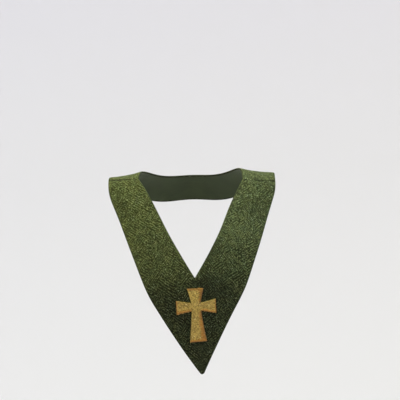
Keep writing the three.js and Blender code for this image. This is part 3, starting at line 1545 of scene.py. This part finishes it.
    def dress(self, wardrobe: Wardrobe, with_pieces: Sequence[bpy.types.Object] = ()) -> None:
        """Gives the panel its materials and its place in the model.

        Args:
            wardrobe: where the materials come from.
            with_pieces: the pieces that lie on it; not used.
        """
        for finish in (Finish.JACQUARD, Finish.LINING):
            self.piece.data.materials.append(wardrobe.take(finish))
        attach(self.piece, BODY)
        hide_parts(self.node)


# ---------------------------------------------------------------- Embroidery


@dataclass(frozen=True)
class Edging:
    """The satin stitches along one side of an arm.

    Args:
        shade: how far the thread turns to copper and brown, over copper at a half to brown at 1; on
            the right and lower sides this is painted shade.
        start: length of the stitches at the side's start.
        end: length of the stitches at the side's end.
    """

    shade: float
    start: float
    end: float


@dataclass(frozen=True)
class Arm:
    """One arm of the cross, which flares from the centre block to its end.

    Args:
        to_side: 1 for the right arm, -1 for the left arm, 0 for the others.
        to_bottom: 1 for the lower arm, -1 for the upper arm, 0 for the others.
        reach: distance from the middle of the cross to the arm's end.
        half: half of the width at the end.
        before: edging of the side that comes first, going clockwise.
        tip: edging of the end.
        after: edging of the side that comes last.
    """

    to_side: int
    to_bottom: int
    reach: float
    half: float
    before: Edging
    tip: Edging
    after: Edging


@dataclass
class Stitches:
    """A growing list of stitches, each one a thread from one place of the drawing to another.

    Args:
        rings: shares of a stitch's length at which its outline is drawn.
        around: number of points round a thread.
        half_wide: half of a thread's width.
        half_high: half of a thread's height.
        base: lift of a thread's middle.
        dip: how far its ends go down.
        uneven_wide: least and most share of the width.
        uneven_base: least and most that a thread lies above its base.
        starts: where each stitch starts.
        ends: where it ends.
        shades: how far each has turned to copper and brown, painted shade on the cross's right and
            lower sides.
    """

    rings: tuple[float, ...]
    around: int
    half_wide: float
    half_high: float
    base: float
    dip: float
    uneven_wide: tuple[float, float] = (0.9, 1.08)
    uneven_base: tuple[float, float] = (-0.05, 0.06)
    starts: list[tuple[float, float]] = field(default_factory=list)
    ends: list[tuple[float, float]] = field(default_factory=list)
    shades: list[float] = field(default_factory=list)

    def add(self, start: tuple[float, float], end: tuple[float, float], shade: float) -> None:
        """Adds a stitch.

        Args:
            start: where it starts.
            end: where it ends.
            shade: how far it has turned to copper and brown, painted shade on the cross's right and
                lower sides.
        """
        self.starts.append(start)
        self.ends.append(end)
        self.shades.append(shade)

    def parts(self, figure: Figure, wear: Wear, seed: int) -> MeshParts:
        """Lays all the stitches on the figure.

        Args:
            figure: what they lie on.
            wear: what wearing does to the drawing.
            seed: start of the random numbers that vary them.

        Returns:
            The mesh of all threads.
        """
        chance = np.random.default_rng(seed)
        start, end = np.array(self.starts), np.array(self.ends)
        count, rings = len(start), len(self.rings)
        step = end - start
        length = np.maximum(np.hypot(step[:, 0], step[:, 1]), TINY)
        side = np.stack([-step[:, 1], step[:, 0]], axis=-1) / length[:, None]
        share = np.array((*self.rings, 0.0, 1.0))
        full = np.sqrt(np.clip(1 - (2 * share - 1) ** 6, 0.0, 1.0))[None, :, None]
        turned = np.arange(self.around) * (2 * math.pi / self.around)
        uneven = chance.uniform(*self.uneven_wide, (count, 1, 1))
        wide = self.half_wide * uneven * full * np.cos(turned)
        high = self.half_high * full * np.sin(turned)
        sunk = self.dip * (2 * share - 1) ** 4
        middle = start[:, None] + step[:, None] * share[None, :, None]
        place = middle[:, :, None] + side[:, None, None] * wide[..., None]
        uneven = chance.uniform(*self.uneven_base, (count, 1, 1))
        lift = self.base - sunk[None, :, None] + uneven + high
        tone = np.broadcast_to(chance.random((count, 1, 1)), lift.shape)
        shade = np.broadcast_to(np.array(self.shades)[:, None, None], lift.shape)
        along = np.broadcast_to((share[None] * length[:, None])[..., None] * MM, lift.shape)
        round_it = np.broadcast_to(turned / (2 * math.pi), lift.shape)
        across, down = wear.moved(place[..., 0], place[..., 1])
        points = figure.lay(across, down, lift)
        places = np.stack([along, round_it, shade], axis=-1)
        tones = np.stack([tone, tone, tone], axis=-1)
        return MeshParts(
            self._packed(points, rings),
            self._faces(count, rings),
            {THREAD_PLACE: self._packed(places, rings), THREAD_TONE: self._packed(tones, rings)},
        )

    @staticmethod
    def _packed(values: Grid, rings: int) -> Grid:
        """Rows for all ring points, then one row for each end of each thread."""
        body = values[:, :rings].reshape(-1, 3)
        return np.concatenate([body, values[:, rings:, 0].reshape(-1, 3)])

    def _faces(self, count: int, rings: int) -> list[tuple[int, ...]]:
        """The faces of all threads: their sides, and a fan at each end.

        Args:
            count: number of threads.
            rings: number of rings along a thread.

        Returns:
            The faces.
        """
        faces = []
        around = self.around
        first_cap = count * rings * around
        for stitch in range(count):
            base = stitch * rings * around
            for ring in range(rings - 1):
                for k in range(around):
                    a = base + ring * around + k
                    b = base + ring * around + (k + 1) % around
                    faces.append((a, a + around, b + around, b))
            last = base + (rings - 1) * around
            start_cap, end_cap = first_cap + 2 * stitch, first_cap + 2 * stitch + 1
            for k in range(around):
                following = (k + 1) % around
                faces.append((base + k, base + following, start_cap))
                faces.append((last + following, last + k, end_cap))
        return faces


@dataclass
class EmbroideredCross:
    """A cross with flared arms: rows of laid gold thread inside a satin-stitched edge.

    Args:
        figure: what it is laid on.
        wear: what wearing does to its drawing.
        node: name of the solid that it stands for.
        middle_across: place of its middle, to the side.
        middle_down: place of its middle, over the shoulder.
        waist_across: half of the upright arms' width where they start.
        waist_down: half of the side arms' width where they start.
        flare: how late the arms widen, 1 for evenly.
        cloth_top: lift of the cloth under it.
        pad: height of the underlay.
        pad_inset: share by which the underlay is smaller than the cross.
        pad_cells: number of cells across each part of the underlay.
        pad_lines: number of lines across each arm of the underlay.
        row_pitch: distance from one laid row to the next.
        row_ends: distance of the first and the last row from the cross's ends.
        row_inset: distance of a row's ends from the outline.
        stitch_length: length of a laid stitch.
        least_gap: a cut nearer than this to the last one or to a row's end is left out.
        least_stitch: a shorter stitch is left out.
        edge_pitch: distance from one satin stitch to the next.
        edge_reach: distance along the outline over which its direction is taken.
        edge_over: how far a satin stitch goes over the outline.
        edge_waver: how much that varies.
        edge_lengths: least and most share of a satin stitch's length.
        edge_shades: least and most share of its shade.
        side_points: number of points along an arm's side.
        tip_points: number of points along an arm's end.
        arms: the four arms, going clockwise from the top.
    """

    figure: Figure
    wear: Wear
    node: str = "cross"
    middle_across: float = -0.5
    middle_down: float = 255.1
    waist_across: float = 7.1
    waist_down: float = 6.2
    flare: float = 1.15
    cloth_top: float = 2.3
    pad: float = 0.45
    pad_inset: float = 0.012
    pad_cells: int = 6
    pad_lines: int = 8
    row_pitch: float = 1.45
    row_ends: float = 1.5
    row_inset: float = 0.6
    stitch_length: float = 3.0
    least_gap: float = 1.2
    least_stitch: float = 0.5
    edge_pitch: float = 0.62
    edge_reach: float = 0.9
    edge_over: float = 0.15
    edge_waver: float = 0.08
    edge_lengths: tuple[float, float] = (0.45, 1.25)
    edge_shades: tuple[float, float] = (0.62, 1.0)
    side_points: int = 80
    tip_points: int = 60
    arms: tuple[Arm, ...] = (
        Arm(0, -1, 28.1, 12.4, Edging(0.0, 0.9, 0.9), Edging(0.84, 3.0, 3.0), Edging(0.98, 6.8, 4.4)),
        Arm(1, 0, 29.9, 11.1, Edging(0.0, 0.9, 0.9), Edging(0.55, 1.5, 1.5), Edging(0.72, 3.6, 4.4)),
        Arm(0, 1, 53.8, 12.8, Edging(0.80, 3.8, 9.4), Edging(0.66, 4.4, 3.6), Edging(0.0, 0.9, 0.9)),
        Arm(-1, 0, 30.3, 10.6, Edging(0.76, 3.4, 4.6), Edging(0.62, 1.9, 1.9), Edging(0.0, 0.9, 0.9)),
    )
    pieces: list[bpy.types.Object] = field(default_factory=list, init=False)

    def corner(self, arm: Arm, along: Grid, beside: Grid) -> Grid:
        """Places of the drawing at a distance along an arm and beside its middle line.

        Args:
            arm: the arm.
            along: distance from the middle of the cross.
            beside: distance clockwise of the arm's middle line.

        Returns:
            The places, one in each row.
        """
        across = self.middle_across + arm.to_side * along - arm.to_bottom * beside
        down = self.middle_down + arm.to_bottom * along + arm.to_side * beside
        return np.stack([across, down], axis=-1)

    def waist(self, arm: Arm) -> tuple[float, float]:
        """How far from the middle an arm starts, and half of its width there."""
        sizes = (self.waist_down, self.waist_across)
        return sizes if arm.to_bottom else sizes[::-1]

    def half_at(self, arm: Arm, along: Grid | float) -> Grid:
        """Half of an arm's width.

        Args:
            arm: the arm.
            along: distances from the middle of the cross.

        Returns:
            The half widths there.
        """
        start, waist = self.waist(arm)
        share = (along - start) / (arm.reach - start)
        return waist + (arm.half - waist) * np.clip(share, 0.0, 1.0) ** self.flare

    def outline(self) -> tuple[Grid, Grid, Grid]:
        """The cross's edge, going clockwise.

        Returns:
            Its places, and at each place the shade and the length of the satin stitches.
        """
        places, shades, lengths = [], [], []
        for arm in self.arms:
            out = np.linspace(self.waist(arm)[0], arm.reach, self.side_points)
            back = out[::-1]
            end = np.linspace(-arm.half, arm.half, self.tip_points)
            runs = (
                (self.corner(arm, out, -self.half_at(arm, out)), arm.before),
                (self.corner(arm, 0 * end + arm.reach, end), arm.tip),
                (self.corner(arm, back, self.half_at(arm, back)), arm.after),
            )
            for run, edging in runs:
                places.append(run[:-1])
                shades.append(np.full(len(run) - 1, edging.shade))
                lengths.append(np.linspace(edging.start, edging.end, len(run) - 1))
        return np.concatenate(places), np.concatenate(shades), np.concatenate(lengths)

    def build(self) -> list[bpy.types.Object]:
        """Builds the underlay, the laid rows and the satin edge.

        Returns:
            The three pieces.
        """
        self.pieces = [self._underlay(), self._laid_rows(), self._satin_edge()]
        return self.pieces

    def _underlay(self) -> bpy.types.Object:
        """The padding under the stitches: a low closed cushion of the cross's shape.

        Returns:
            The piece.
        """
        flat, faces = self._welded(self._cells())
        rims: dict[tuple[int, int], None] = {}
        for ring in faces:
            for a, b in zip(ring, ring[1:] + ring[:1]):
                if (b, a) in rims:
                    del rims[(b, a)]
                else:
                    rims[(a, b)] = None
        middle = np.array([self.middle_across, self.middle_down])
        shrunk = flat + (middle - flat) * self.pad_inset
        across, down = self.wear.moved(shrunk[:, 0], shrunk[:, 1])
        low = self.figure.lay(across, down, self.cloth_top)
        high = self.figure.lay(across, down, self.cloth_top + self.pad)
        count = len(flat)
        walls = [(a, b, b + count, a + count) for a, b in rims]
        shell = [tuple(n + count for n in ring) for ring in faces]
        shell += [tuple(ring[::-1]) for ring in faces] + walls
        place = np.stack([across, down, 0 * across], axis=-1) * MM
        places = {CLOTH_PLACE: np.concatenate([place, place])}
        return MeshParts(np.concatenate([low, high]), shell, places).make("cross_underlay")

    @staticmethod
    def _welded(cells: Sequence[Sequence[Grid]]) -> tuple[Grid, list[list[int]]]:
        """Joins cells at the corners that they share.

        Args:
            cells: the four corners of each cell.

        Returns:
            The corners, one in each row, and the rings of corner numbers, all one way round.
        """
        numbers: dict[tuple[float, float], int] = {}
        places: list[tuple[float, float]] = []
        faces = []
        for cell in cells:
            ring = []
            for place in cell:
                key = (round(float(place[0]), WELD_DIGITS), round(float(place[1]), WELD_DIGITS))
                if key not in numbers:
                    numbers[key] = len(places)
                    places.append((float(place[0]), float(place[1])))
                ring.append(numbers[key])
            turning = sum(
                places[a][1] * places[b][0] - places[b][1] * places[a][0]
                for a, b in zip(ring, ring[1:] + ring[:1])
            )
            faces.append(ring if turning > 0 else ring[::-1])
        return np.array(places), faces

    def _cells(self) -> list[list[Grid]]:
        """Four-cornered cells that fill the cross.

        Returns:
            The corners of each cell, as places of the drawing.
        """
        count = self.pad_cells + 1
        spread = np.linspace(-1.0, 1.0, count)
        block = np.meshgrid(
            self.middle_across + spread * self.waist_across,
            self.middle_down + spread * self.waist_down,
        )
        grids = [np.stack(block, axis=-1)]
        for arm in self.arms:
            lines = [
                self.corner(arm, np.full(count, along), spread * self.half_at(arm, along))
                for along in np.linspace(self.waist(arm)[0], arm.reach, self.pad_lines)
            ]
            grids.append(np.stack(lines))
        return [
            [grid[i, j], grid[i, j + 1], grid[i + 1, j + 1], grid[i + 1, j]]
            for grid in grids
            for i in range(grid.shape[0] - 1)
            for j in range(grid.shape[1] - 1)
        ]

    def _laid_rows(self) -> bpy.types.Object:
        """Rows of thread laid across the cross, with their ends staggered like bricks.

        Returns:
            The piece.
        """
        outline, _, _ = self.outline()
        stitches = Stitches(
            rings=(0.035, 0.13, 0.36, 0.64, 0.87, 0.965),
            around=6,
            half_wide=self.row_pitch * 0.56,
            half_high=0.34,
            base=self.cloth_top + 0.62,
            dip=0.42,
        )
        low, high = outline[:, 1].min() + self.row_ends, outline[:, 1].max() - self.row_ends
        for row, down in enumerate(np.arange(low, high, self.row_pitch)):
            shift = (row % 2) * self.stitch_length / 2
            for left, right in self._spans(outline, float(down)):
                for start, end in self._cut(left + self.row_inset, right - self.row_inset, shift):
                    stitches.add((start, float(down)), (end, float(down)), 0.0)
        log.info("laid rows: %d stitches", len(stitches.starts))
        return stitches.parts(self.figure, self.wear, ROW_SEED).make("cross_rows")

    @staticmethod
    def _spans(outline: Grid, down: float) -> list[tuple[float, float]]:
        """The stretches of a line across the drawing that lie inside an outline.

        Args:
            outline: the places that the outline joins.
            down: the line's distance over the shoulder.

        Returns:
            Where each stretch starts and ends, to the side.
        """
        following = np.roll(outline, -1, axis=0)
        crosses = (outline[:, 1] <= down) != (following[:, 1] <= down)
        start, end = outline[crosses], following[crosses]
        share = (down - start[:, 1]) / (end[:, 1] - start[:, 1])
        places = np.sort(start[:, 0] + share * (end[:, 0] - start[:, 0]))
        return [(float(a), float(b)) for a, b in zip(places[::2], places[1::2])]

    def _cut(self, left: float, right: float, shift: float) -> list[tuple[float, float]]:
        """Cuts a stretch into stitches of the usual length.

        Args:
            left: where the stretch starts.
            right: where it ends.
            shift: moves the cuts along.

        Returns:
            Where each stitch starts and ends.
        """
        length = self.stitch_length
        first = math.ceil((left - shift) / length) * length + shift
        places = [left, *np.arange(first, right, length), right]
        kept = [places[0]]
        for place in places[1:-1]:
            if min(place - kept[-1], right - place) > self.least_gap:
                kept.append(float(place))
        kept.append(right)
        return [(a, b) for a, b in zip(kept, kept[1:]) if b - a > self.least_stitch]

    def _satin_edge(self) -> bpy.types.Object:
        """Close stitches across the cross's edge, longer and darker on its shaded sides.

        Returns:
            The piece.
        """
        outline, shades, lengths = self.outline()
        closed = np.concatenate([outline, outline[:1]])
        steps = np.linalg.norm(np.diff(closed, axis=0), axis=1)
        travelled = np.concatenate([[0.0], np.cumsum(steps)])
        total = travelled[-1]
        chance = np.random.default_rng(EDGE_SEED)
        stitches = Stitches(
            rings=(0.06, 0.3, 0.7, 0.94),
            around=6,
            half_wide=self.edge_pitch * 0.6,
            half_high=0.36,
            base=self.cloth_top + 0.96,
            dip=0.62,
        )
        count = round(total / self.edge_pitch)
        for index in range(count):
            at = (index + 0.5) * total / count
            place = self._at(closed, travelled, at)
            before = self._at(closed, travelled, (at - self.edge_reach) % total)
            after = self._at(closed, travelled, (at + self.edge_reach) % total)
            run = after - before
            inwards = np.array([-run[1], run[0]]) / max(float(np.hypot(*run)), TINY)
            number = min(int(np.searchsorted(travelled, at)) - 1, len(shades) - 1)
            length = lengths[number] * chance.uniform(*self.edge_lengths)
            shade = shades[number] * chance.uniform(*self.edge_shades)
            waver = chance.uniform(-self.edge_waver, self.edge_waver)
            outer = place - inwards * (self.edge_over + waver)
            inner = place + inwards * length
            stitches.add(tuple(outer), tuple(inner), float(shade))
        log.info("satin edge: %d stitches", count)
        return stitches.parts(self.figure, self.wear, THREAD_SEED).make("cross_edge")

    @staticmethod
    def _at(closed: Grid, travelled: Grid, at: float) -> Grid:
        """The place at a distance along a closed line."""
        return np.array([np.interp(at, travelled, closed[:, k]) for k in range(2)])

    def dress(self, wardrobe: Wardrobe) -> None:
        """Gives the pieces their materials and their place in the model.

        Args:
            wardrobe: where the materials come from.
        """
        finishes = (Finish.UNDERLAY, Finish.GOLD, Finish.GOLD)
        for piece, finish in zip(self.pieces, finishes):
            piece.data.materials.append(wardrobe.take(finish))
            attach(piece, BODY)
            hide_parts(self.node)


# ---------------------------------------------------------------- Studio


@dataclass(frozen=True)
class Softbox:
    """A soft rectangular lamp that faces a point.

    Args:
        name: its name.
        place: where it is, in metres.
        target: the point that it faces.
        width: its width.
        height: its height.
        power: its power, in watts.
        colour: its light's colour.
    """

    name: str
    place: tuple[float, float, float]
    target: tuple[float, float, float]
    width: float
    height: float
    power: float
    colour: Colour

    def build(self) -> bpy.types.Object:
        """Makes the lamp.

        Returns:
            The lamp.
        """
        light = bpy.data.lights.new(self.name, "AREA")
        light.shape = "RECTANGLE"
        light.size, light.size_y = self.width, self.height
        light.energy = self.power
        light.color = self.colour
        lamp = bpy.data.objects.new(self.name, light)
        aim = Vector(self.target) - Vector(self.place)
        turn = aim.to_track_quat("-Z", "Y").to_matrix().to_4x4()
        lamp.matrix_world = Matrix.Translation(self.place) @ turn
        bpy.context.scene.collection.objects.link(lamp)
        return lamp


@dataclass
class Studio:
    """A pale floor that sweeps up into a round wall, an open pale sky, and soft lamps.

    Args:
        floor_height: height of the floor, in metres.
        floor_radius: how far out it is flat.
        sweep: radius of the bend from the floor to the wall.
        wall: height of the wall above that bend.
        sides: number of sides of the round wall.
        bend_steps: number of lines in the bend.
        floor_colour: colour of the paper.
        grain_tone: tone of the paper's darker grain.
        grain_size: size of the grain, in metres.
        sky: colour of the sky.
        sky_strength: strength of the sky.
        lamps: the lamps.
    """

    floor_height: float = -1.4
    floor_radius: float = 2.6
    sweep: float = 1.4
    wall: float = 1.9
    sides: int = 128
    bend_steps: int = 25
    floor_colour: Colour = (0.84, 0.825, 0.87)
    grain_tone: float = 0.98
    grain_size: float = 0.004
    sky: Colour = (1.0, 1.0, 1.02)
    sky_strength: float = 1.0
    lamps: tuple[Softbox, ...] = (
        Softbox("warm", (-0.32, -0.18, 0.76), (-0.06, -0.06, 0.0), 0.6, 0.6, 25.3, (1.0, 1.0, 0.24)),
        Softbox("cool", (0.32, -0.18, 0.76), (0.06, -0.06, 0.0), 0.6, 0.6, 23.2, (0.76, 1.0, 0.80)),
    )

    def build(self) -> None:
        """Makes the floor, the surroundings and the lamps."""
        for lamp in self.lamps:
            lamp.build()
        self._floor()
        world = bpy.data.worlds.new("surroundings")
        world.use_nodes = True
        background = world.node_tree.nodes["Background"]
        background.inputs["Color"].default_value = (*self.sky, 1.0)
        background.inputs["Strength"].default_value = self.sky_strength
        bpy.context.scene.world = world
        bpy.context.scene.view_settings.view_transform = "Standard"

    def _floor(self) -> None:
        """A round sheet of pale paper, whose rim sweeps up into a wall."""
        count = self.sides
        turned = np.arange(count) * (2 * math.pi / count)
        ring = np.stack([np.cos(turned), np.sin(turned)], axis=-1)
        profile = [(self.floor_radius * share, 0.0) for share in (0.25, 0.5, 0.75)]
        for bend in np.linspace(0.0, math.pi / 2, self.bend_steps):
            out = self.floor_radius + self.sweep * math.sin(bend)
            profile.append((out, self.sweep * (1.0 - math.cos(bend))))
        profile.append((self.floor_radius + self.sweep, self.sweep + self.wall))
        points = [(0.0, 0.0, self.floor_height)]
        for radius, height in profile:
            points += [(x * radius, y * radius, self.floor_height + height) for x, y in ring]
        faces = [(0, 1 + k, 1 + (k + 1) % count) for k in range(count)]
        for line in range(len(profile) - 1):
            first = 1 + line * count
            for k in range(count):
                here, after = first + k, first + (k + 1) % count
                faces.append((here, here + count, after + count, after))
        floor = MeshParts(np.array(points), faces, {}).make("floor")
        bench = Bench("pale_paper")
        grain = bench.noise(bench.out(bench.add("TexCoord"), "Object"), self.grain_size)
        darker = tuple(self.grain_tone * value for value in self.floor_colour)
        colour = bench.blend(grain, self.floor_colour, darker)
        shader = {"Base Color": colour, "Roughness": 0.95, "Specular IOR Level": 0.0}
        floor.data.materials.append(bench.finish(shader))


@dataclass(frozen=True)
class Viewpoint:
    """Where the camera stands.

    Args:
        distance: from the camera to the origin's depth, in metres.
        azimuth: turn round the object, in degrees.
        elevation: height angle, in degrees.
        roll: lean of the camera, in degrees.
        aside: how far the origin is to the right of the view's middle line, in metres.
        above: how far the origin is above it.
        lens: focal length, in millimetres.
        sensor: width of the sensor, in millimetres.
    """

    distance: float = 1.6
    azimuth: float = -1.0
    elevation: float = 2.0
    roll: float = 1.8
    aside: float = -0.0142
    above: float = 0.0470
    lens: float = 87.27
    sensor: float = 36.0

    def build(self) -> bpy.types.Object:
        """Makes the camera and hands it to the scene.

        Returns:
            The camera.
        """
        azimuth, elevation = math.radians(self.azimuth), math.radians(self.elevation)
        level = math.cos(elevation)
        back = Vector(
            (math.sin(azimuth) * level, -math.cos(azimuth) * level, math.sin(elevation))
        )
        right = (-back).cross(Vector((0.0, 0.0, 1.0))).normalized()
        up = right.cross(-back)
        cosine, sine = math.cos(math.radians(self.roll)), math.sin(math.radians(self.roll))
        right, up = right * cosine - up * sine, right * sine + up * cosine
        place = back * self.distance - right * self.aside - up * self.above
        axes = Matrix((right, up, back)).transposed().to_4x4()
        data = bpy.data.cameras.new("camera")
        data.lens = self.lens
        data.sensor_width = self.sensor
        camera = bpy.data.objects.new("camera", data)
        camera.matrix_world = Matrix.Translation(place) @ axes
        bpy.context.scene.collection.objects.link(camera)
        bpy.context.scene.camera = camera
        return camera


# ---------------------------------------------------------------- The whole collar

SWELLS = (
    Swell(32.0, 164.0, 32.0, 38.0, 6.0, 3.8),
    Swell(30.0, 250.0, 28.0, 26.0, 0.0, -1.8),
    Swell(62.0, 152.0, 32.0, 26.0, 24.0, 1.6),
    Swell(-97.0, 92.0, 26.0, 15.0, 14.0, 0.9),
    Swell(-114.0, 76.0, 16.0, 18.0, 14.0, 1.2),
    Swell(-110.0, 110.0, 16.0, 16.0, 14.0, -0.9),
    Swell(-74.0, 229.0, 26.0, 18.0, -24.0, 1.4),
    Swell(76.0, 222.0, 24.0, 18.0, 30.0, 0.8),
    Swell(114.0, 68.0, 18.0, 26.0, 20.0, 1.6),
    Swell(108.0, 128.0, 18.0, 22.0, 24.0, -0.9),
    Swell(-42.0, 142.0, 26.0, 22.0, -20.0, 1.2),
    Swell(-20.0, 220.0, 20.0, 17.0, -6.0, 1.0),
    Swell(-32.0, 270.0, 30.0, 20.0, -6.0, -0.7),
    Swell(28.0, 284.0, 34.0, 20.0, 4.0, -0.6),
    Swell(-26.0, 292.0, 24.0, 18.0, -14.0, -0.5),
    Swell(4.0, 326.0, 22.0, 16.0, 80.0, -0.5),
    Swell(-54.0, -104.0, 24.0, 16.0, 20.0, 0.4),
    Swell(40.0, -112.0, 26.0, 16.0, -16.0, 0.4),
    Swell(98.0, -52.0, 26.0, 14.0, -60.0, 0.6),
    Swell(-110.0, -30.0, 26.0, 13.0, 68.0, -0.6),
)


def main() -> None:
    """Builds the collar and its studio."""
    logging.basicConfig(level=logging.INFO, format="%(name)s: %(message)s")
    figure = Figure(swells=SWELLS)
    wardrobe = Wardrobe()
    Viewpoint().build()
    front_outline = FrontOutline()
    wear = Wear(front_outline.tip)
    cross = EmbroideredCross(figure, wear)
    for piece in cross.build():
        log.info("%s: %d faces", piece.name, len(piece.data.polygons))
    cross.dress(wardrobe)
    front = ClothPanel(
        figure,
        name="front",
        node="front_panel",
        outline=front_outline,
        wear=wear,
        flat=(0.272, 0.340),
        area=0.0373,
        sections=130,
        cloth_shift=0.0,
    )
    back = ClothPanel(
        figure,
        name="back",
        node="back_band",
        outline=BackOutline(),
        wear=wear,
        flat=(0.272, 0.184),
        area=0.0220,
        sections=110,
        cloth_shift=640.0,
    )
    for panel in (front, back):
        piece = panel.build()
        log.info("%s: %d faces", piece.name, len(piece.data.polygons))
    front.dress(wardrobe, cross.pieces)
    back.dress(wardrobe)
    Studio().build()


if __name__ == "__main__":
    main()
